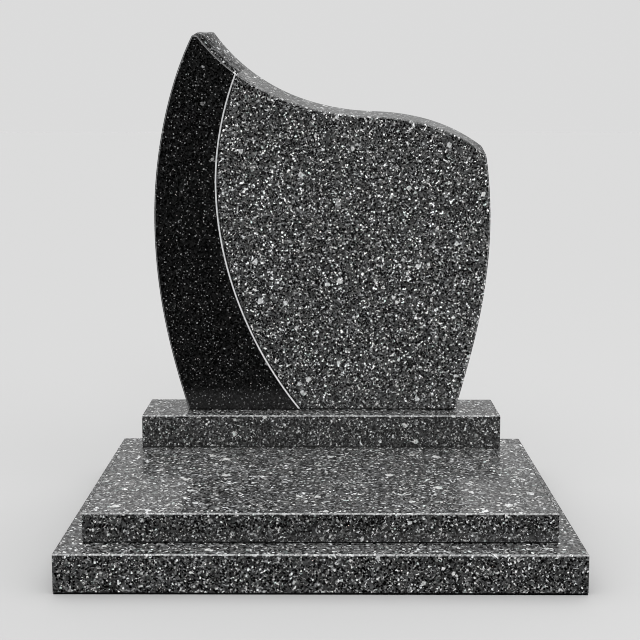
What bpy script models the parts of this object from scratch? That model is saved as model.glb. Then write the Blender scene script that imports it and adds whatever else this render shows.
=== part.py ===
# Cinerary monument in polished granite: a base slab, a ledger and a plinth in three
# steps, and a headstone with a dark panel let into its left side.
# Metres, +Z up. The front faces -Y and the origin is the middle of the underside.

import math

import bmesh
import bpy
from mathutils import Vector
from mathutils.geometry import interpolate_bezier

# Fits between the stones
BEDDING_GAP = 0.0003         # between two stones that touch
PANEL_JOINT = 0.002          # open joint along the panel's curved seam

# Edge finish
SLAB_ARRIS = 0.002           # chamfer on every edge of the three squared stones
HEADSTONE_ARRIS = 0.003      # chamfer round the headstone's front and back
PANEL_ARRIS = 0.003          # chamfer round the dark panel

# Base slab
BASE_WIDTH = 0.800
BASE_DEPTH = 0.600
BASE_HEIGHT = 0.062

# Ledger, which lies on the base in front of the plinth
LEDGER_SIDE_STEP = 0.036
LEDGER_FRONT_STEP = 0.0445
LEDGER_HEIGHT = 0.0465

# Plinth, which stands on the base and closes the ledger's back
PLINTH_WIDTH = 0.654
PLINTH_DEPTH = 0.118
PLINTH_RISE = 0.0595         # above the ledger
PLINTH_REAR_STEP = 0.099

# Headstone
HEADSTONE_THICKNESS = 0.060
HEADSTONE_REAR_STEP = 0.016

# Outline of the headstone's front: distances from the middle, heights above the plinth
FOOT_LEFT = 0.2461
FOOT_RIGHT = 0.2505
BELLY_LEFT = 0.3058
BELLY_RIGHT = 0.3102
BELLY_HEIGHT = 0.3527
TIP_LEFT = 0.2328
TIP_FRONT_WIDTH = 0.0098
TIP_FRONT_DROP = 0.002       # from the tip's left corner to its right one
TIP_HEIGHT = 0.6894
CREST_RIGHT = 0.0976
CREST_HEIGHT = 0.5423
SHOULDER_RIGHT = 0.2998
SHOULDER_HEIGHT = 0.4739

# The top is weathered: it falls towards the front, so its back edge stands higher
TIP_BACK_SHIFT = 0.0029
TIP_BACK_WIDTH = 0.031
TIP_RISE = 0.010
CREST_RISE = 0.011
SHOULDER_RISE = 0.0145

# Dark panel and the seam along its right side
PANEL_THICKNESS = 0.012
PANEL_PROUD = 0.0025
PANEL_MARGIN = 0.001         # the panel's outer edge keeps this far inside the outline
SEAM_HEAD_LEFT = 0.1518
SEAM_HEAD_HEIGHT = 0.618
SEAM_WAIST_LEFT = 0.1893
SEAM_WAIST_HEIGHT = 0.4215
SEAM_FOOT_LEFT = 0.0348

# Directions that the outline takes at its corners, in degrees up from the right
FOOT_LEFT_LEAN = 106.7
TIP_LEFT_LEAN = 62.9
TIP_FRONT_DIP = -53.1
TIP_BACK_DIP = -53.9
CREST_BACK_DIP = -1.8
SHOULDER_FRONT_DIP = -40.5
SHOULDER_BACK_DIP = -36.4
SHOULDER_SIDE_DIP = -73.0
FOOT_RIGHT_DIP = -102.4
SEAM_HEAD_DIP = -111.5
SEAM_FOOT_DIP = -50.8
UPRIGHT = 90.0
LEVEL = 0.0

# Fullness of each curve: how much of the straight distance between its two ends it
# keeps to its direction at the first end and at the second
LEFT_LOWER_FULLNESS = (0.28, 0.41)
LEFT_UPPER_FULLNESS = (0.32, 0.31)
RIGHT_UPPER_FULLNESS = (0.13, 0.34)
RIGHT_LOWER_FULLNESS = (0.46, 0.17)
FALL_FRONT_FULLNESS = (0.39, 0.27)
FALL_BACK_FULLNESS = (0.38, 0.35)
BROW_FRONT_FULLNESS = (0.15, 0.43)
BROW_BACK_FULLNESS = (0.39, 0.33)
SEAM_UPPER_FULLNESS = (0.238, 0.397)
SEAM_LOWER_FULLNESS = (0.373, 0.293)

# Drawing of the curves and the cutters
CURVE_STEPS = 16             # straight pieces in one curve
SMOOTH_LIMIT = math.radians(28)
WELD_DISTANCE = 0.00005
CUTTER_OVERRUN = 0.030       # how far a cutter reaches past the stone

# Heights and depths that follow from the sizes above
BASE_FRONT = -BASE_DEPTH / 2
BASE_BACK = BASE_DEPTH / 2
TIER_SEAT = BASE_HEIGHT + BEDDING_GAP
LEDGER_TOP = TIER_SEAT + LEDGER_HEIGHT
PLINTH_TOP = LEDGER_TOP + PLINTH_RISE
PLINTH_BACK = BASE_BACK - PLINTH_REAR_STEP
PLINTH_FRONT = PLINTH_BACK - PLINTH_DEPTH
HEADSTONE_SEAT = PLINTH_TOP + BEDDING_GAP
HEADSTONE_TOP = TIP_HEIGHT + TIP_RISE
HEADSTONE_BACK = PLINTH_BACK - HEADSTONE_REAR_STEP
HEADSTONE_FRONT = HEADSTONE_BACK - HEADSTONE_THICKNESS
PANEL_FRONT = HEADSTONE_FRONT - PANEL_PROUD
PANEL_BACK = PANEL_FRONT + PANEL_THICKNESS
REBATE_FLOOR = PANEL_BACK + BEDDING_GAP


def clear_scene():
    for item in list(bpy.data.objects):
        bpy.data.objects.remove(item, do_unlink=True)


def new_collection(name):
    collection = bpy.data.collections.new(name)
    bpy.context.scene.collection.children.link(collection)
    return collection


def polished_stone(name, colour, roughness):
    material = bpy.data.materials.new(name)
    material.use_nodes = True
    shader = material.node_tree.nodes["Principled BSDF"]
    shader.inputs["Base Color"].default_value = (*colour, 1.0)
    shader.inputs["Roughness"].default_value = roughness
    shader.inputs["Metallic"].default_value = 0.0
    material.diffuse_color = (*colour, 1.0)
    return material


def add_arris(stone, width):
    arris = stone.modifiers.new("arris", "BEVEL")
    arris.width = width
    arris.segments = 1
    arris.limit_method = "ANGLE"
    arris.angle_limit = SMOOTH_LIMIT


def sawn_slab(name, low, high, material, collection):
    # A squared slab between two opposite corners, with an arris on all its edges
    low, high = Vector(low), Vector(high)
    bm = bmesh.new()
    bmesh.ops.create_cube(bm, size=1.0)
    bmesh.ops.scale(bm, vec=high - low, verts=bm.verts)
    mesh = bpy.data.meshes.new(name)
    bm.to_mesh(mesh)
    bm.free()
    mesh.materials.append(material)
    slab = bpy.data.objects.new(name, mesh)
    slab.location = (low + high) / 2
    collection.objects.link(slab)
    add_arris(slab, SLAB_ARRIS)
    return slab


def heading(degrees):
    angle = math.radians(degrees)
    return Vector((math.cos(angle), math.sin(angle)))


def sweep(start, leave, end, arrive, fullness):
    # Points of one smooth curve between two places, its last point left out
    start, end = Vector(start), Vector(end)
    reach = (end - start).length
    first_handle = start + heading(leave) * (reach * fullness[0])
    last_handle = end - heading(arrive) * (reach * fullness[1])
    return interpolate_bezier(start, first_handle, last_handle, end, CURVE_STEPS + 1)[:-1]


def closed_outline(tip, fall, brow, shoulder):
    # Clockwise from the left foot, seen from the front, over the given top edge
    foot_left = (-FOOT_LEFT, 0.0)
    foot_right = (FOOT_RIGHT, 0.0)
    belly_left = (-BELLY_LEFT, BELLY_HEIGHT)
    belly_right = (BELLY_RIGHT, BELLY_HEIGHT)
    outline = sweep(foot_left, FOOT_LEFT_LEAN, belly_left, UPRIGHT, LEFT_LOWER_FULLNESS)
    outline += sweep(belly_left, UPRIGHT, tip, TIP_LEFT_LEAN, LEFT_UPPER_FULLNESS)
    outline += [Vector(tip)] + fall + brow
    outline += sweep(shoulder, SHOULDER_SIDE_DIP, belly_right, -UPRIGHT, RIGHT_UPPER_FULLNESS)
    outline += sweep(belly_right, -UPRIGHT, foot_right, FOOT_RIGHT_DIP, RIGHT_LOWER_FULLNESS)
    return outline + [Vector(foot_right)]


def front_outline():
    tip = (-TIP_LEFT, TIP_HEIGHT)
    tip_end = (-TIP_LEFT + TIP_FRONT_WIDTH, TIP_HEIGHT - TIP_FRONT_DROP)
    crest = (CREST_RIGHT, CREST_HEIGHT)
    shoulder = (SHOULDER_RIGHT, SHOULDER_HEIGHT)
    fall = sweep(tip_end, TIP_FRONT_DIP, crest, LEVEL, FALL_FRONT_FULLNESS)
    brow = sweep(crest, LEVEL, shoulder, SHOULDER_FRONT_DIP, BROW_FRONT_FULLNESS)
    return closed_outline(tip, fall, brow, shoulder)


def back_outline():
    # As many points as the front outline, raised along the top
    tip = (-TIP_LEFT + TIP_BACK_SHIFT, TIP_HEIGHT + TIP_RISE)
    tip_end = (tip[0] + TIP_BACK_WIDTH, tip[1])
    crest = (CREST_RIGHT, CREST_HEIGHT + CREST_RISE)
    shoulder = (SHOULDER_RIGHT, SHOULDER_HEIGHT + SHOULDER_RISE)
    fall = sweep(tip_end, TIP_BACK_DIP, crest, CREST_BACK_DIP, FALL_BACK_FULLNESS)
    brow = sweep(crest, CREST_BACK_DIP, shoulder, SHOULDER_BACK_DIP, BROW_BACK_FULLNESS)
    return closed_outline(tip, fall, brow, shoulder)


def seam(offset, lowest):
    # The seam from above the headstone down to the height lowest, moved to the left by
    # offset and carried on straight past both of its ends
    head = Vector((-SEAM_HEAD_LEFT, SEAM_HEAD_HEIGHT))
    waist = Vector((-SEAM_WAIST_LEFT, SEAM_WAIST_HEIGHT))
    foot = Vector((-SEAM_FOOT_LEFT, 0.0))
    head_slope, foot_slope = heading(SEAM_HEAD_DIP), heading(SEAM_FOOT_DIP)
    climb = HEADSTONE_TOP + CUTTER_OVERRUN - SEAM_HEAD_HEIGHT
    curve = [head + head_slope * (climb / head_slope.y)]
    curve += sweep(head, SEAM_HEAD_DIP, waist, -UPRIGHT, SEAM_UPPER_FULLNESS)
    curve += sweep(waist, -UPRIGHT, foot, SEAM_FOOT_DIP, SEAM_LOWER_FULLNESS)
    curve += [foot, foot + foot_slope * CUTTER_OVERRUN]
    moved = []
    for here, there in zip(curve, curve[1:]):
        along = (there - here).normalized()
        moved.append(here + Vector((along.y, -along.x)) * offset)
    end_left = SEAM_FOOT_LEFT - (offset + lowest * foot_slope.x) / foot_slope.y
    return [point for point in moved if point.y > lowest] + [Vector((-end_left, lowest))]


def panel_region(offset, lowest):
    # Everything to the left of the seam, down to the height lowest
    edge = seam(offset, lowest)
    outside = -BELLY_LEFT - CUTTER_OVERRUN
    return edge + [Vector((outside, lowest)), Vector((outside, edge[0].y))]


def upright_plate(name, outline, front, back, collection):
    # A flat outline extruded from front to back, standing on the headstone's seat
    curve = bpy.data.curves.new(name, "CURVE")
    curve.dimensions = "2D"
    curve.fill_mode = "BOTH"
    curve.extrude = (back - front) / 2
    spline = curve.splines.new("POLY")
    spline.points.add(len(outline) - 1)
    for point, place in zip(spline.points, outline):
        point.co = (place.x, place.y, 0.0, 1.0)
    spline.use_cyclic_u = True
    drawn = bpy.data.objects.new(name + "_outline", curve)
    drawn.location = (0.0, (front + back) / 2, HEADSTONE_SEAT)
    drawn.rotation_euler = (math.pi / 2, 0.0, 0.0)
    collection.objects.link(drawn)
    bpy.context.view_layer.update()
    depsgraph = bpy.context.evaluated_depsgraph_get()
    mesh = bpy.data.meshes.new_from_object(drawn.evaluated_get(depsgraph))
    bm = bmesh.new()
    bm.from_mesh(mesh)
    bmesh.ops.remove_doubles(bm, verts=bm.verts, dist=WELD_DISTANCE)
    bmesh.ops.recalc_face_normals(bm, faces=bm.faces)
    bm.to_mesh(mesh)
    bm.free()
    mesh.name = name
    plate = bpy.data.objects.new(name, mesh)
    plate.matrix_world = drawn.matrix_world.copy()
    collection.objects.link(plate)
    bpy.data.objects.remove(drawn, do_unlink=True)
    return plate


def inset_outline(outline, margin):
    # The outline moved inwards all round by margin
    bm = bmesh.new()
    face = bm.faces.new([bm.verts.new((place.x, place.y, 0.0)) for place in outline])
    bmesh.ops.inset_region(bm, faces=[face], thickness=margin, use_even_offset=True)
    inner = [Vector((vert.co.x, vert.co.y)) for vert in face.verts]
    bm.free()
    return inner


def as_cutter(plate):
    plate.hide_render = True
    plate.display_type = "WIRE"
    return plate


def apply_boolean(stone, operation, cutter):
    cut = stone.modifiers.new(cutter.name, "BOOLEAN")
    cut.operation = operation
    cut.object = cutter
    cut.solver = "EXACT"


def lofted_headstone(material, collection):
    # The front outline and the higher back outline, joined by a ruled edge all round
    bm = bmesh.new()
    rings = []
    for outline, depth in ((front_outline(), HEADSTONE_FRONT), (back_outline(), HEADSTONE_BACK)):
        verts = [bm.verts.new((place.x, depth, HEADSTONE_SEAT + place.y)) for place in outline]
        bm.faces.new(verts)
        rings.append(verts)
    front_ring, back_ring = rings
    count = len(front_ring)
    for index in range(count):
        following = (index + 1) % count
        bm.faces.new((front_ring[index], front_ring[following],
                      back_ring[following], back_ring[index]))
    bmesh.ops.recalc_face_normals(bm, faces=bm.faces)
    mesh = bpy.data.meshes.new("headstone")
    bm.to_mesh(mesh)
    bm.free()
    mesh.materials.append(material)
    headstone = bpy.data.objects.new("headstone", mesh)
    collection.objects.link(headstone)
    return headstone


def make_tiers(material, collection):
    sawn_slab("base_slab",
              (-BASE_WIDTH / 2, BASE_FRONT, 0.0),
              (BASE_WIDTH / 2, BASE_BACK, BASE_HEIGHT),
              material, collection)
    ledger_half = BASE_WIDTH / 2 - LEDGER_SIDE_STEP
    sawn_slab("ledger",
              (-ledger_half, BASE_FRONT + LEDGER_FRONT_STEP, TIER_SEAT),
              (ledger_half, PLINTH_FRONT - BEDDING_GAP, LEDGER_TOP),
              material, collection)
    sawn_slab("plinth",
              (-PLINTH_WIDTH / 2, PLINTH_FRONT, TIER_SEAT),
              (PLINTH_WIDTH / 2, PLINTH_BACK, PLINTH_TOP),
              material, collection)


def make_headstone(material, collection, cutters):
    headstone = lofted_headstone(material, collection)
    add_arris(headstone, HEADSTONE_ARRIS)
    region = panel_region(0.0, -CUTTER_OVERRUN)
    rebate = upright_plate("panel_rebate", region, HEADSTONE_FRONT - CUTTER_OVERRUN,
                           REBATE_FLOOR, cutters)
    apply_boolean(headstone, "DIFFERENCE", as_cutter(rebate))


def make_dark_panel(material, collection, cutters):
    # The headstone's outline carried down past its foot, then kept left of the seam
    outline = front_outline()
    outline = [Vector((outline[0].x, -CUTTER_OVERRUN))] + outline
    outline.append(Vector((outline[-1].x, -CUTTER_OVERRUN)))
    blank = inset_outline(outline, PANEL_MARGIN)
    panel = upright_plate("dark_panel", blank, PANEL_FRONT, PANEL_BACK, collection)
    panel.data.materials.append(material)
    region = panel_region(PANEL_JOINT, 0.0)
    trim = upright_plate("panel_trim", region, PANEL_FRONT - CUTTER_OVERRUN,
                         PANEL_BACK + CUTTER_OVERRUN, cutters)
    apply_boolean(panel, "INTERSECT", as_cutter(trim))
    add_arris(panel, PANEL_ARRIS)


def main():
    clear_scene()
    stones = new_collection("cinerary_monument")
    cutters = new_collection("cutters")
    grey_granite = polished_stone("grey_granite", (0.060, 0.061, 0.063), 0.14)
    black_granite = polished_stone("black_granite", (0.008, 0.008, 0.008), 0.10)
    make_tiers(grey_granite, stones)
    make_headstone(grey_granite, stones, cutters)
    make_dark_panel(black_granite, stones, cutters)


main()
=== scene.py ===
import math

import bmesh
import bpy
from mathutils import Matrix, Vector
from mathutils.geometry import interpolate_bezier


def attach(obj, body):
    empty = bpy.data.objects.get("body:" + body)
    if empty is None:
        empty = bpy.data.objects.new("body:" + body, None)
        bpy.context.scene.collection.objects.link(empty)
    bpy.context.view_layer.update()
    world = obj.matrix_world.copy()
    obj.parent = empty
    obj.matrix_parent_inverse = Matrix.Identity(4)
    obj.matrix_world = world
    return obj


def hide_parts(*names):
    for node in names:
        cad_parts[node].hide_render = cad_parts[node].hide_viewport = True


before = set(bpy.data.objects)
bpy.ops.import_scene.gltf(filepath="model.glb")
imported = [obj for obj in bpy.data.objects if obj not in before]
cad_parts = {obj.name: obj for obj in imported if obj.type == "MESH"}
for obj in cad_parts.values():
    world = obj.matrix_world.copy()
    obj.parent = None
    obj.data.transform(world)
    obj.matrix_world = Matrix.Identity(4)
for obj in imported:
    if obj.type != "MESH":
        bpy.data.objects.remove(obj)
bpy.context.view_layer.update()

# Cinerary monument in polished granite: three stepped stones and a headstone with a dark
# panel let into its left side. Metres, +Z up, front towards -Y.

print("frame loaded:", ", ".join(sorted(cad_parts)))


# shader sums

class Wire:
    # one socket of a finish; a sum written with it adds its Math nodes

    def __init__(self, finish, socket):
        self.finish = finish
        self.socket = socket

    def other(self, output):
        return Wire(self.finish, self.socket.node.outputs[output])

    def maths(self, operation, first, second):
        return self.finish.add("ShaderNodeMath", {"operation": operation}, {0: first, 1: second})

    def __add__(self, value):
        return self.maths("ADD", self, value)

    def __radd__(self, value):
        return self.maths("ADD", value, self)

    def __sub__(self, value):
        return self.maths("SUBTRACT", self, value)

    def __rsub__(self, value):
        return self.maths("SUBTRACT", value, self)

    def __mul__(self, value):
        return self.maths("MULTIPLY", self, value)

    def __rmul__(self, value):
        return self.maths("MULTIPLY", value, self)

    def __pow__(self, value):
        return self.maths("POWER", self, value)


class Finish:
    # the node tree of one material or of the world

    def __init__(self, tree):
        self.tree = tree
        self.tree.nodes.clear()

    def add(self, kind, settings, sockets, output=0):
        node = self.tree.nodes.new(kind)
        for key, value in settings.items():
            setattr(node, key, value)
        for key, value in sockets.items():
            if isinstance(value, Wire):
                self.tree.links.new(value.socket, node.inputs[key])
            else:
                node.inputs[key].default_value = value
        return Wire(self, node.outputs[output]) if node.outputs else None

    def blend(self, amount, first, second, how="MIX"):
        settings = {"data_type": "RGBA", "blend_type": how}
        return self.add("ShaderNodeMix", settings, {0: amount, 6: first, 7: second}, 2)

    def rise(self, value, start, end):
        # 0 below start, 1 above end, and eased between them
        settings = {"interpolation_type": "SMOOTHSTEP"}
        return self.add("ShaderNodeMapRange", settings,
                        {"Value": value, "From Min": start, "From Max": end})

    def mark(self, name):
        # how far a face carries one of the marks that the mesh code gives it
        return self.add("ShaderNodeAttribute", {"attribute_name": name}, {}, "Fac")

    def vector(self, operation, sockets):
        return self.add("ShaderNodeVectorMath", {"operation": operation}, sockets)

    def cells(self, place, size):
        # crystals of about this size: how far from the middle, and a random colour each
        return self.add("ShaderNodeTexVoronoi", {}, {"Vector": place, "Scale": 1 / size})

    def cloud(self, place, size, detail):
        return self.add("ShaderNodeTexNoise", {},
                        {"Vector": place, "Scale": 1 / size, "Detail": detail})

    def dice(self, cells):
        # three random numbers for each crystal
        parted = self.add("ShaderNodeSeparateColor", {}, {"Color": cells.other("Color")})
        return parted, parted.other("Green"), parted.other("Blue")

    def chosen(self, dice, share, softness=0.01):
        # 1 for that share of the crystals and 0 for the others
        return self.rise(dice, 1 - share - softness, 1 - share + softness)


def between(ends, dice):
    # from the first end to the second as the dice goes from 0 to 1
    return ends[0] + (ends[1] - ends[0]) * dice


# the two granites, and the recessed joints under the stones, painted dark as shade

joint = {
    "height": 0.0021,
    "depth": 0.0008,
    # near-black painted shade for the joints' recesses
    "colour": (0.003, 0.003, 0.003, 1.0),
    "roughness": 0.60,
}

greyGranite = {
    "grain": 0.0028,         # size of the grey crystals
    "grey": (0.0088, 0.1218),   # from the darkest to the lightest
    "pale": 1.18,            # added to the few pale ones
    "rarity": 14.0,          # higher makes those fewer
    "micaGrain": 0.0039,     # round black mica flakes between them
    "micaShare": 0.47,
    "micaReach": 0.49,       # their size in that grain
    "mica": 0.0006,
    "speckGrain": 0.00345,   # single white feldspars
    "speckShare": 0.90,
    "speckReach": (0.058, 0.255),   # their sizes in that grain
    "patchGrain": 0.020,     # white feldspar patches
    "patchShare": 0.17,
    "white": 0.90,
    "roughness": 0.15,
    # pale colour of the ground arrises, used also as a painted highlight
    "groundArrisHighlightColour": (0.720, 0.724, 0.730, 1.0),
    "groundArrisHighlightCover": (0.08, 0.68),     # how far that colour hides the crystals
    "honedRoughness": 0.40,
}

blackGranite = {
    "grain": 0.0028,
    "grey": (0.0008, 0.0155),
    "pale": 0.029,
    "rarity": 24.0,
    "micaGrain": 0.0038,
    "micaShare": 0.46,
    "micaReach": 0.48,
    "mica": 0.0003,
    "speckGrain": 0.0042,
    "speckShare": 0.56,
    "speckReach": (0.113, 0.345),
    "patchGrain": 0.0212,
    "patchShare": 0.052,
    "white": 0.412,
    "roughness": 0.10,
    # pale colour of the ground arrises, used also as a painted highlight
    "groundArrisHighlightColour": (0.740, 0.744, 0.750, 1.0),
    "groundArrisHighlightCover": (0.82, 1.12),
    "honedRoughness": 0.38,
}

bothGranites = {
    "waves": 1.3,            # waves in the crystals' edges, in grains, and how far they push
    "wavePush": 0.9,
    "micaSoftness": 0.03,
    "speckSoftness": 0.02,
    "speckLight": (0.30, 1.00),
    "patchSoftness": 0.01,
    "patchReach": (0.12, 0.27),
    "patchLumps": 0.34,      # how lumpy the patches' edges are, and how large the lumps
    "lumpSize": 0.0050,
    "patchLight": (0.78, 1.00),
    "patchHides": 0.75,      # how much of the mica a patch hides
    "whiteLight": (0.60, 1.00),
    "driftSize": 0.110,      # slow changes of tone over the slab
    "drift": (0.80, 1.20),
    "tingeSize": 0.022,      # and of tint
    "warmRise": (0.40, 0.62),
    "cool": (0.985, 1.0, 1.010, 1.0),
    "warm": (1.0, 0.992, 0.985, 1.0),
    "greenRise": (0.44, 0.60),
    "green": (0.90, 1.02, 1.0, 1.0),
    "smearSize": 0.055,      # uneven polish
    "smear": (0.70, 1.30),
    "micaGloss": 0.05,
    "relief": 0.10,
    "reliefDepth": 0.0001,
    "ior": 1.52,
}


def graniteFinish(name, look, cut):
    # cut holds a stone's tone, darker on the lower stones as painted shade, its place in the rock,
    # and how its top differs from its sides: larger crystals, painted light on the squared stones'
    # tops, painted shade on the headstone's, and dimmer whites on both
    rock = bothGranites
    material = bpy.data.materials.new(name)
    material.use_nodes = True
    stone = Finish(material.node_tree)
    spot = stone.add("ShaderNodeTexCoord", {}, {}, "Object")
    place = stone.add("ShaderNodeMapping", {},
                      {"Vector": spot, "Location": cut["shift"], "Rotation": cut["turn"]})
    top = stone.mark("top")
    place = stone.vector("SCALE", {0: place, "Scale": cut["fineness"] - cut["topCoarse"] * top})

    # uneven crystal edges
    waves = stone.cloud(place, look["grain"] * rock["waves"], detail=1.0).other("Color")
    waves = stone.vector("SUBTRACT", {0: waves, 1: (0.5, 0.5, 0.5)})
    waves = stone.vector("SCALE", {0: waves, "Scale": look["grain"] * rock["wavePush"]})
    ragged = stone.vector("ADD", {0: place, 1: waves})

    # grey crystals, most of them dark and a few pale
    grains = stone.cells(ragged, look["grain"])
    grainDice, grainTint, grainGloss = stone.dice(grains)
    grey = between(look["grey"], grainDice)
    pale = look["pale"] * grainDice ** look["rarity"]

    # black mica
    flakes = stone.cells(ragged, look["micaGrain"])
    softness = rock["micaSoftness"]
    mica = stone.chosen(stone.dice(flakes)[0], look["micaShare"])
    mica = mica * stone.rise(look["micaReach"] - flakes, -softness, softness)

    # single white crystals
    specks = stone.cells(ragged, look["speckGrain"])
    speckDice, speckSize, speckLight = stone.dice(specks)
    softness = rock["speckSoftness"]
    reach = between(look["speckReach"], speckSize)
    speck = stone.chosen(speckDice, look["speckShare"])
    speck = speck * stone.rise(reach - specks, -softness, softness)
    speck = speck * between(rock["speckLight"], speckLight)

    # patches of white crystals, with mica in them
    patches = stone.cells(ragged, look["patchGrain"])
    patchDice, patchSize, patchLight = stone.dice(patches)
    softness = rock["patchSoftness"]
    lumps = stone.cloud(place, rock["lumpSize"], detail=1.0)
    reach = between(rock["patchReach"], patchSize) + rock["patchLumps"] * (lumps - 0.5)
    patch = stone.chosen(patchDice, look["patchShare"])
    patch = patch * stone.rise(reach - patches, -softness, softness)
    patch = patch * between(rock["patchLight"], patchLight)

    # all crystals together, with slow changes of tone and tint over the slab
    drift = stone.cloud(place, rock["driftSize"], detail=2.0)
    tinge = stone.cloud(place, rock["tingeSize"], detail=1.0)
    # painted light and shade on the top faces: greys shifted and whites dimmed there
    topShadeFactor = 1 - cut["paintedTopShade"] * top
    # cut's tone, lower on the lower stones, paints shade on them
    grey = grey * (cut["tone"] + cut["paintedTopLight"] * top) + pale * (cut["tone"] * topShadeFactor)
    grey = grey * between(rock["drift"], drift)
    white = between(rock["whiteLight"], grainGloss) * (look["white"] * topShadeFactor)
    bright = speck.maths("MAXIMUM", speck, patch)
    lit = grey + (white - grey) * bright
    dark = mica * (1 - speck) * (1 - rock["patchHides"] * patch)
    value = lit + (look["mica"] - lit) * dark
    tint = stone.blend(stone.rise(tinge, *rock["warmRise"]), rock["cool"], rock["warm"])
    tint = stone.blend(stone.rise(grainTint * tinge, *rock["greenRise"]), tint, rock["green"])
    plain = stone.add("ShaderNodeCombineColor", {}, {"Red": value, "Green": value, "Blue": value})
    polished = stone.blend(1.0, plain, tint, "MULTIPLY")

    # arrises are only ground, not polished, so they are pale and matt; that pale colour is also a
    # painted highlight, given only to arrises that face the light and strongest along the panel's
    # seam
    groundArrisHighlight = stone.mark("groundArrisHighlight")
    ground = stone.blend(between(look["groundArrisHighlightCover"], grainDice), polished, look["groundArrisHighlightColour"])
    colour = stone.blend(groundArrisHighlight, polished, ground)
    smear = stone.cloud(place, rock["smearSize"], detail=3.0)
    gloss = look["roughness"] * between(rock["smear"], smear)
    gloss = gloss + rock["micaGloss"] * mica * grainGloss
    roughness = gloss + (look["honedRoughness"] - gloss) * groundArrisHighlight

    # painted shade in the joints and the groove
    paintedShade = stone.mark("paintedShade")
    colour = stone.blend(paintedShade, colour, joint["colour"])
    roughness = roughness + (joint["roughness"] - roughness) * paintedShade
    relief = stone.add("ShaderNodeBump", {},
                       {"Strength": rock["relief"], "Distance": rock["reliefDepth"],
                        "Height": value - mica})
    shader = stone.add("ShaderNodeBsdfPrincipled", {},
                       {"Base Color": colour, "Roughness": roughness, "Normal": relief,
                        "IOR": rock["ior"]})
    stone.add("ShaderNodeOutputMaterial", {}, {"Surface": shader})
    return material


# mesh code for all stones

hair = 0.0001                # nearer than this is the same place
clear = 0.001                # what is within this of a stone's foot isn't eased
sharp = 28                   # edges that turn by more degrees are eased,
arrisSteps = 3               # with this many faces across
slightly, half, mostly, wholly = 0.2, 0.5, 0.85, 0.99   # how far a face looks some way


def addObject(name, thing):
    # an object in the scene for that mesh, lamp or camera
    made = bpy.data.objects.new(name, thing)
    bpy.context.scene.collection.objects.link(made)
    return made


def addMesh(name, bm):
    mesh = bpy.data.meshes.new(name)
    bm.to_mesh(mesh)
    bm.free()
    return addObject(name, mesh)


def finishPiece(name, bm, node, material):
    # the mesh of a finished piece, on its body in place of its CAD node
    bmesh.ops.remove_doubles(bm, verts=bm.verts, dist=0.000001)
    for face in bm.faces:
        face.smooth = True
    piece = addMesh(name, bm)
    piece.data.materials.append(material)
    evened = piece.modifiers.new("flat faces stay flat", "WEIGHTED_NORMAL")
    evened.weight = 100
    evened.keep_sharp = True
    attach(piece, "root")
    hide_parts(node)
    print("made", name, len(piece.data.polygons), "faces")


def easeEdges(bm, edges, width, steps):
    return bmesh.ops.bevel(bm, geom=edges, offset=width, offset_type="OFFSET", segments=steps,
                           profile=0.5, affect="EDGES", clamp_overlap=False, loop_slide=True,
                           material=-1)["faces"]


def sharpEdges(bm, angle, lowest):
    # edges that turn by more than that many degrees, and don't lie lower than that
    return [edge for edge in bm.edges if edge.calc_face_angle(0.0) > math.radians(angle)
            and max(vert.co.z for vert in edge.verts) > lowest]


def pushFaces(bm, faces, way, keep=False):
    # those faces moved that way, with walls back to where they were; keep leaves them there too
    grown = bmesh.ops.extrude_face_region(bm, geom=faces)["geom"]
    moved = [item for item in grown if isinstance(item, bmesh.types.BMVert)]
    if not keep:
        bmesh.ops.delete(bm, geom=faces, context="FACES")
    bmesh.ops.translate(bm, vec=way, verts=moved)


def sliceLevel(bm, height, way, sawn=False):
    # new edges all round at that height; sawn takes off what lies beyond them, that way
    everything = bm.verts[:] + bm.edges[:] + bm.faces[:]
    cut = bmesh.ops.bisect_plane(bm, geom=everything, dist=0.00001, clear_outer=sawn,
                                 plane_co=(0.0, 0.0, height), plane_no=(0.0, 0.0, way))
    return [item for item in cut["geom_cut"] if isinstance(item, bmesh.types.BMEdge)]


def paintedShadeJoint(bm, height):
    # the lowest part of a stone stands back a little, and that recess is painted dark as shade
    lowest = min(vert.co.z for vert in bm.verts)
    foot = [face for face in bm.faces if all(vert.co.z < lowest + hair for vert in face.verts)]
    bmesh.ops.inset_region(bm, faces=foot, thickness=joint["depth"], use_even_offset=True)
    pushFaces(bm, foot, (0.0, 0.0, -height))
    paintedShade = bm.faces.layers.float.new("paintedShade")
    for face in bm.faces:
        if face.calc_center_median().z < lowest - hair:
            face[paintedShade] = 1.0


def cutGroove(bm, seat):
    # a groove of the joints' size along the stone's front, on top of what it stands behind, painted
    # dark as shade
    for height in (seat, seat + joint["height"]):
        sliceLevel(bm, height, 1.0)
    middle = seat + joint["height"] / 2
    strip = [face for face in bm.faces if face.normal.y < -wholly
             and abs(face.calc_center_median().z - middle) < hair]
    front = strip[0].calc_center_median().y
    pushFaces(bm, strip, (0.0, joint["depth"], 0.0))
    paintedShade = bm.faces.layers.float["paintedShade"]
    for face in bm.faces:
        centre = face.calc_center_median()
        if abs(centre.z - middle) < hair and abs(centre.y - front - joint["depth"]) < hair:
            face[paintedShade] = 1.0


# squared stones

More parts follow.
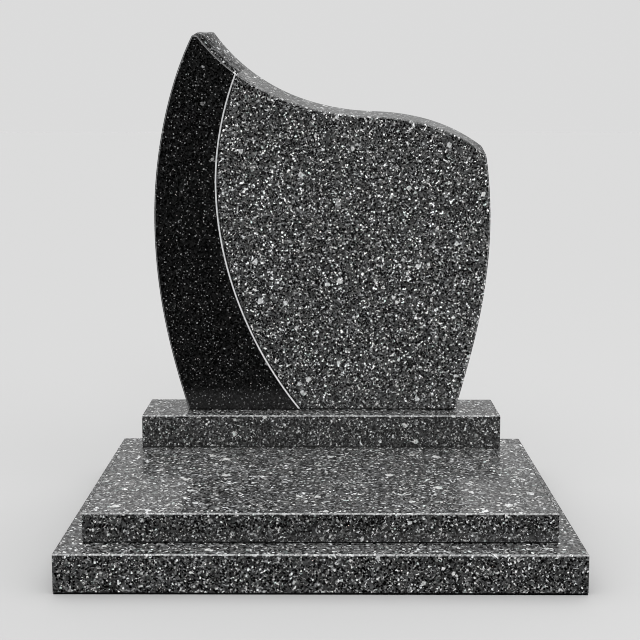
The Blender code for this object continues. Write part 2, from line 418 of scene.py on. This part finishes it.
def squaredStone(name, sizes):
    low, high = Vector(sizes["low"]), Vector(sizes["high"])
    jointHeight = sizes.get("jointHeight", joint["height"])
    low.z += jointHeight
    bm = bmesh.new()
    bmesh.ops.create_cube(bm, size=1.0)
    bmesh.ops.scale(bm, vec=high - low, verts=bm.verts)
    bmesh.ops.translate(bm, vec=(low + high) / 2, verts=bm.verts)
    groundArrisHighlight = bm.faces.layers.float.new("groundArrisHighlight")
    eased = easeEdges(bm, sharpEdges(bm, sharp, low.z + clear), sizes["arris"], arrisSteps)
    # only the front-top arrises, which face the light from above, get the pale colour, as a painted
    # highlight
    for face in eased:
        face[groundArrisHighlight] = 1.0 if face.normal.y < -slightly and face.normal.z > slightly else 0.0
    paintedShadeJoint(bm, jointHeight)
    if "groove" in sizes:
        cutGroove(bm, sizes["groove"])
    top = bm.faces.layers.float.new("top")
    for face in bm.faces:
        if min(vert.co.z for vert in face.verts) > high.z - hair:
            face[top] = 1.0
    material = graniteFinish(name + " granite", greyGranite, sizes)
    finishPiece(name, bm, sizes["node"], material)


baseSlab = {
    "node": "base_slab",
    "low": (-0.400, -0.300, 0.0),
    "high": (0.400, 0.300, 0.062),
    "arris": 0.0022,
    "jointHeight": 0.0034,   # on the ground; the other stones have the joints' usual height
    # its tone, darker than the headstone's, is painted shade
    "tone": 0.77,
    # painted light on its top, and painted shade on the whites there
    "paintedTopLight": 0.60,         # how much lighter the greys of its top are,
    "paintedTopShade": 0.06,      # how much duller the whites there,
    "fineness": 1.06,        # how small all its crystals are,
    "topCoarse": 0.31,       # and how much larger on the top
    "shift": (1.3, 0.4, 2.2),
    "turn": (0.3, 0.8, 0.2),
}
squaredStone("baseSlab", baseSlab)

ledger = {
    "node": "ledger",
    "low": (-0.364, -0.2555, 0.0623),
    "high": (0.364, 0.0827, 0.1088),
    "arris": 0.0022,
    # its tone, darker than the headstone's, is painted shade
    "tone": 0.74,
    # painted light and shade on its top, as on the base slab
    "paintedTopLight": 0.60,
    "paintedTopShade": 0.06,
    "fineness": 1.06,
    "topCoarse": 0.31,
    "shift": (4.1, 2.7, 0.6),
    "turn": (0.9, 0.1, 0.5),
}
squaredStone("ledgerSlab", ledger)

plinth = {
    "node": "plinth",
    "low": (-0.327, 0.083, 0.0623),
    "high": (0.327, 0.201, 0.1683),
    "arris": 0.0022,
    "groove": 0.1088,        # over the ledger behind which it stands
    # its tone, darker than the headstone's, is painted shade
    "tone": 0.72,
    # painted light and shade on its top, as on the base slab
    "paintedTopLight": 0.60,
    "paintedTopShade": 0.06,
    "fineness": 1.0,
    "topCoarse": 0.25,
    "shift": (2.2, 5.9, 3.3),
    "turn": (0.5, 1.1, 0.9),
}
squaredStone("plinthBlock", plinth)


# headstone and dark panel

headstone = {
    "node": "headstone",
    "seat": 0.1686,          # height of its foot
    "front": 0.125,
    "back": 0.185,
    "arris": 0.003,
    "lipArris": 0.0004,      # on the rebate's lip, where the front turns by more degrees
    "lipAngle": 80,          # than these
    "lipSteps": 2,
    # painted highlights on its ground arrises
    "topHighlight": 0.12,        # how pale the arris along its top is,
    "sideHighlight": 0.55,       # and the inner line of its side arrises
    "tone": 1.0,
    # painted shade on its top: darker greys and dimmer whites
    "paintedTopLight": -0.15,
    "paintedTopShade": 0.45,
    "fineness": 1.0,
    "topCoarse": 0.30,
    "shift": (0.2, 1.1, 0.7),
    "turn": (0.1, 0.4, 0.3),
    "curveSteps": 48,
    # outline: distances from the middle and heights above the seat
    "footLeft": 0.2461,
    "footRight": 0.2505,
    "bellyLeft": 0.3058,
    "bellyRight": 0.3102,
    "bellyHeight": 0.3527,
    "tipLeft": 0.2328,
    "tipHeight": 0.6894,
    "tipWidth": 0.0098,
    "tipDrop": 0.002,
    "crestRight": 0.0976,
    "crestHeight": 0.5423,
    "shoulderRight": 0.2998,
    "shoulderHeight": 0.4739,
    # its curves: the headings at both ends, in degrees, and how full each is there
    "flankLeft": (106.7, 90.0, 0.28, 0.41),
    "chestLeft": (90.0, 62.9, 0.32, 0.31),
    "fall": (-53.1, 0.0, 0.39, 0.27),
    "brow": (0.0, -40.5, 0.15, 0.43),
    "chestRight": (-73.0, -90.0, 0.13, 0.34),
    "flankRight": (-90.0, -102.4, 0.46, 0.17),
    # the weathered top stands higher along its back edge
    "tipBackShift": 0.0029,
    "tipBackWidth": 0.031,
    "tipRise": 0.010,
    "crestRise": 0.011,
    "shoulderRise": 0.0145,
    "fallBack": (-53.9, -1.8, 0.38, 0.35),
    "browBack": (-1.8, -36.4, 0.39, 0.33),
}

darkPanel = {
    "node": "dark_panel",
    "front": 0.1225,
    "back": 0.1345,
    "bed": 0.1348,           # floor of the rebate behind it
    "margin": 0.001,
    "joint": 0.0022,
    "arris": 0.0026,
    "edgeHighlight": 0.22,       # painted highlight: how pale its outer arris is, and the one along the seam
    "seamHighlight": 1.0,
    "seamHead": (-0.1518, 0.618),
    "seamWaist": (-0.1893, 0.4215),
    "seamFoot": (-0.0348, 0.0),
    "seamUpper": (-111.5, -90.0, 0.238, 0.397),
    "seamLower": (-90.0, -50.8, 0.373, 0.293),
    "seamReach": 0.006,      # arrises this near the seam run along it
    "cutAbove": 0.140,       # the cutters' reach: past the ends of the seam,
    "cutBelow": 0.060,
    "cutLeft": 0.36,         # left from the middle,
    "cutDepth": 0.02,        # and past the faces
    "trim": 0.03,            # the blank's extra length at its foot
    "tone": 1.0,
    "paintedTopLight": 0.0,
    "paintedTopShade": 0.0,
    "fineness": 1.0,
    "topCoarse": 0.0,
    "shift": (3.7, 0.3, 1.9),
    "turn": (0.7, 0.2, 1.2),
}


def heading(degrees):
    angle = math.radians(degrees)
    return Vector((math.cos(angle), math.sin(angle)))


def sweep(start, end, bend):
    # one smooth curve between two places, its last point left out
    leave, arrive, firstFullness, lastFullness = bend
    start, end = Vector(start), Vector(end)
    span = (end - start).length
    firstHandle = start + heading(leave) * (span * firstFullness)
    lastHandle = end - heading(arrive) * (span * lastFullness)
    return interpolate_bezier(start, firstHandle, lastHandle, end, headstone["curveSteps"] + 1)[:-1]


def closedOutline(tip, fall, brow, shoulder):
    h = headstone
    bellyLeft = (-h["bellyLeft"], h["bellyHeight"])
    bellyRight = (h["bellyRight"], h["bellyHeight"])
    footRight = (h["footRight"], 0.0)
    outline = sweep((-h["footLeft"], 0.0), bellyLeft, h["flankLeft"])
    outline += sweep(bellyLeft, tip, h["chestLeft"])
    outline += [Vector(tip)] + fall + brow
    outline += sweep(shoulder, bellyRight, h["chestRight"])
    outline += sweep(bellyRight, footRight, h["flankRight"])
    return outline + [Vector(footRight)]


def frontOutline():
    h = headstone
    tip = (-h["tipLeft"], h["tipHeight"])
    tipEnd = (tip[0] + h["tipWidth"], tip[1] - h["tipDrop"])
    crest = (h["crestRight"], h["crestHeight"])
    shoulder = (h["shoulderRight"], h["shoulderHeight"])
    return closedOutline(tip, sweep(tipEnd, crest, h["fall"]),
                         sweep(crest, shoulder, h["brow"]), shoulder)


def backOutline():
    h = headstone
    tip = (-h["tipLeft"] + h["tipBackShift"], h["tipHeight"] + h["tipRise"])
    tipEnd = (tip[0] + h["tipBackWidth"], tip[1])
    crest = (h["crestRight"], h["crestHeight"] + h["crestRise"])
    shoulder = (h["shoulderRight"], h["shoulderHeight"] + h["shoulderRise"])
    return closedOutline(tip, sweep(tipEnd, crest, h["fallBack"]),
                         sweep(crest, shoulder, h["browBack"]), shoulder)


def seamCurve():
    # from above the headstone to below its foot
    d = darkPanel
    head, waist, foot = (Vector(d[key]) for key in ("seamHead", "seamWaist", "seamFoot"))
    above = head - heading(d["seamUpper"][0]) * d["cutAbove"]
    curve = [above] + sweep(head, waist, d["seamUpper"]) + sweep(waist, foot, d["seamLower"])
    return curve + [foot, foot + heading(d["seamLower"][1]) * d["cutBelow"]]


def leftOfSeam(offset):
    # the region left of the seam, which is moved to the left by offset
    curve = seamCurve()
    moved = []
    for here, there in zip(curve, curve[1:]):
        along = (there - here).normalized()
        moved.append(here + Vector((along.y, -along.x)) * offset)
    moved.append(curve[-1] + Vector((along.y, -along.x)) * offset)
    left = -darkPanel["cutLeft"]
    return moved + [Vector((left, moved[-1].y)), Vector((left, moved[0].y))]


def plate(name, outline, front, back, margin=0.0):
    # an upright plate of that outline, for a stone or for a cut in one
    bm = bmesh.new()
    seat = headstone["seat"]
    face = bm.faces.new([bm.verts.new((spot.x, front, seat + spot.y)) for spot in outline])
    if margin:
        rim = bmesh.ops.inset_region(bm, faces=[face], thickness=margin, use_even_offset=True)
        bmesh.ops.delete(bm, geom=rim["faces"], context="FACES")
    pushFaces(bm, [face], (0.0, back - front, 0.0), keep=True)
    bmesh.ops.recalc_face_normals(bm, faces=bm.faces)
    return addMesh(name, bm)


def cutStone(stone, operation, cutter):
    # the stone's mesh after the cut, as a bmesh; both working objects are cleared away
    cut = stone.modifiers.new("cut", "BOOLEAN")
    cut.operation = operation
    cut.object = cutter
    cut.solver = "EXACT"
    bpy.context.view_layer.update()
    depsgraph = bpy.context.evaluated_depsgraph_get()
    mesh = bpy.data.meshes.new_from_object(stone.evaluated_get(depsgraph))
    bm = bmesh.new()
    bm.from_mesh(mesh)
    bmesh.ops.remove_doubles(bm, verts=bm.verts, dist=0.00002)
    for used in (stone, cutter):
        bpy.data.objects.remove(used, do_unlink=True)
    return bm


def sawFoot(bm, height):
    # everything below that height is sawn off, and the cut closed
    bmesh.ops.holes_fill(bm, edges=sliceLevel(bm, height, -1.0, sawn=True))
    bmesh.ops.recalc_face_normals(bm, faces=bm.faces)


def makeHeadstone():
    h = headstone
    bm = bmesh.new()
    rims = []
    for outline, depth in ((frontOutline(), h["front"]), (backOutline(), h["back"])):
        face = bm.faces.new([bm.verts.new((spot.x, depth, h["seat"] + spot.y)) for spot in outline])
        rims += face.edges[:]
    bmesh.ops.bridge_loops(bm, edges=rims)
    bmesh.ops.recalc_face_normals(bm, faces=bm.faces)
    groundArrisHighlight = bm.faces.layers.float.new("groundArrisHighlight")
    eased = easeEdges(bm, sharpEdges(bm, sharp, h["seat"] + clear), h["arris"], arrisSteps)
    bm.normal_update()
    # painted highlights: a faint pale line on the top arrises, and a pale line on the inner face of
    # the side arrises
    for face in eased:
        if face.normal.y < 0 and face.normal.z > slightly:
            face[groundArrisHighlight] = h["topHighlight"]
        elif face.normal.y < -mostly:
            face[groundArrisHighlight] = h["sideHighlight"]
    blank = addMesh("headstoneBlank", bm)
    rebate = plate("rebateCut", leftOfSeam(0.0), h["front"] - darkPanel["cutDepth"],
                   darkPanel["bed"])
    bm = cutStone(blank, "DIFFERENCE", rebate)
    foot = h["seat"] + joint["height"]
    sawFoot(bm, foot)
    lip = [edge for edge in sharpEdges(bm, h["lipAngle"], foot + hair)
           if all(abs(vert.co.y - h["front"]) < hair for vert in edge.verts)]
    easeEdges(bm, lip, h["lipArris"], h["lipSteps"])
    paintedShadeJoint(bm, joint["height"])
    bm.normal_update()
    top = bm.faces.layers.float.new("top")
    for face in bm.faces:
        if face.normal.z > half and abs(face.normal.y) < half:
            face[top] = 1.0
    material = graniteFinish("headstone granite", greyGranite, h)
    finishPiece("headstoneBody", bm, h["node"], material)


def makeDarkPanel():
    d = darkPanel
    outline = frontOutline()
    outline = [Vector((outline[0].x, -d["trim"]))] + outline + [Vector((outline[-1].x, -d["trim"]))]
    blank = plate("panelBlank", outline, d["front"], d["back"], d["margin"])
    region = leftOfSeam(d["joint"])
    seamSide = region[:-2]
    keep = plate("panelTrim", region, d["front"] - d["cutDepth"], d["back"] + d["cutDepth"])
    bm = cutStone(blank, "INTERSECT", keep)
    foot = headstone["seat"] + joint["height"]
    sawFoot(bm, foot)
    groundArrisHighlight = bm.faces.layers.float.new("groundArrisHighlight")
    eased = easeEdges(bm, sharpEdges(bm, sharp, foot + clear), d["arris"], arrisSteps)
    bm.normal_update()
    # painted highlights: full pale colour on the arris along the seam, which faces the light from
    # the right, and a faint one on the inner face of the outer arrises
    for face in eased:
        centre = face.calc_center_median()
        spot = Vector((centre.x, centre.z - headstone["seat"]))
        if min((spot - point).length for point in seamSide) < d["seamReach"]:
            face[groundArrisHighlight] = d["seamHighlight"]
        elif face.normal.y < -mostly:
            face[groundArrisHighlight] = d["edgeHighlight"]
    paintedShadeJoint(bm, joint["height"])
    material = graniteFinish("panel granite", blackGranite, d)
    finishPiece("darkPanelPlate", bm, d["node"], material)


makeHeadstone()
makeDarkPanel()


# studio

studio = {
    "backdrop": 0.711,       # what the camera sees round the floor
    "floor": 0.4885,
    "floorSize": 60.0,
    "side": 0.60,            # light from low round the object, and where it rises
    "sideRise": (0.12, 0.24),
    "top": 1.22,             # added from high above
    "topRise": (0.40, 0.75),
    "below": 0.005,          # what polished faces see under the horizon
    "lamps": (
        ("frontLamp", "SUN", (0.4, -2.9, 2.4), {"energy": 0.42, "angle": 0.44}),
        ("rightLamp", "AREA", (2.2, -0.9, 1.3), {"shape": "DISK", "size": 1.2, "energy": 6.0}),
    ),
    "aim": (0.0, 0.13, 0.45),
}


def makeSky():
    world = bpy.data.worlds.new("softStudio")
    bpy.context.scene.world = world
    world.use_nodes = True
    sky = Finish(world.node_tree)
    way = sky.add("ShaderNodeTexCoord", {}, {}, "Generated")
    height = sky.add("ShaderNodeSeparateXYZ", {}, {"Vector": way}, "Z")
    glow = between((studio["below"], studio["side"]), sky.rise(height, *studio["sideRise"]))
    glow = glow + studio["top"] * sky.rise(height, *studio["topRise"])
    seen = sky.add("ShaderNodeLightPath", {}, {}, "Is Camera Ray")
    amount = glow + (studio["backdrop"] - glow) * seen
    light = sky.add("ShaderNodeBackground", {}, {"Color": (1.0, 1.0, 1.0, 1.0), "Strength": amount})
    sky.add("ShaderNodeOutputWorld", {}, {"Surface": light})


def makeFloor():
    bm = bmesh.new()
    bmesh.ops.create_grid(bm, x_segments=1, y_segments=1, size=studio["floorSize"])
    floor = addMesh("studioFloor", bm)
    floor.visible_glossy = False
    paint = bpy.data.materials.new("matt floor")
    paint.use_nodes = True
    matt = Finish(paint.node_tree)
    tone = studio["floor"]
    shader = matt.add("ShaderNodeBsdfDiffuse", {}, {"Color": (tone, tone, tone, 1.0)})
    matt.add("ShaderNodeOutputMaterial", {}, {"Surface": shader})
    floor.data.materials.append(paint)


makeSky()
makeFloor()
for name, kind, spot, settings in studio["lamps"]:
    lamp = bpy.data.lights.new(name, kind)
    for key in settings:
        setattr(lamp, key, settings[key])
    holder = addObject(name, lamp)
    holder.location = spot
    aim = Vector(studio["aim"]) - holder.location
    holder.rotation_euler = aim.to_track_quat("-Z", "Y").to_euler()
bpy.context.scene.view_settings.view_transform = "Standard"
print("studio set")

cameraView = {
    "place": (0.0063, -1.8781, 0.7053),
    "pitchDown": 5.420,
    "turnLeft": 0.243,
    "sensor": 36.0,
    "lens": 61.79,
    "shift": -0.15,
    "pixelFilter": 1.0,
}
camera = bpy.data.cameras.new("photoCamera")
camera.sensor_width = cameraView["sensor"]
camera.lens = cameraView["lens"]
camera.shift_y = cameraView["shift"]
cameraObject = addObject("photoCamera", camera)
cameraObject.location = cameraView["place"]
cameraObject.rotation_euler = (math.radians(90.0 - cameraView["pitchDown"]), 0.0,
                               math.radians(cameraView["turnLeft"]))
bpy.context.scene.camera = cameraObject
bpy.context.scene.cycles.filter_width = cameraView["pixelFilter"]
print("camera set")
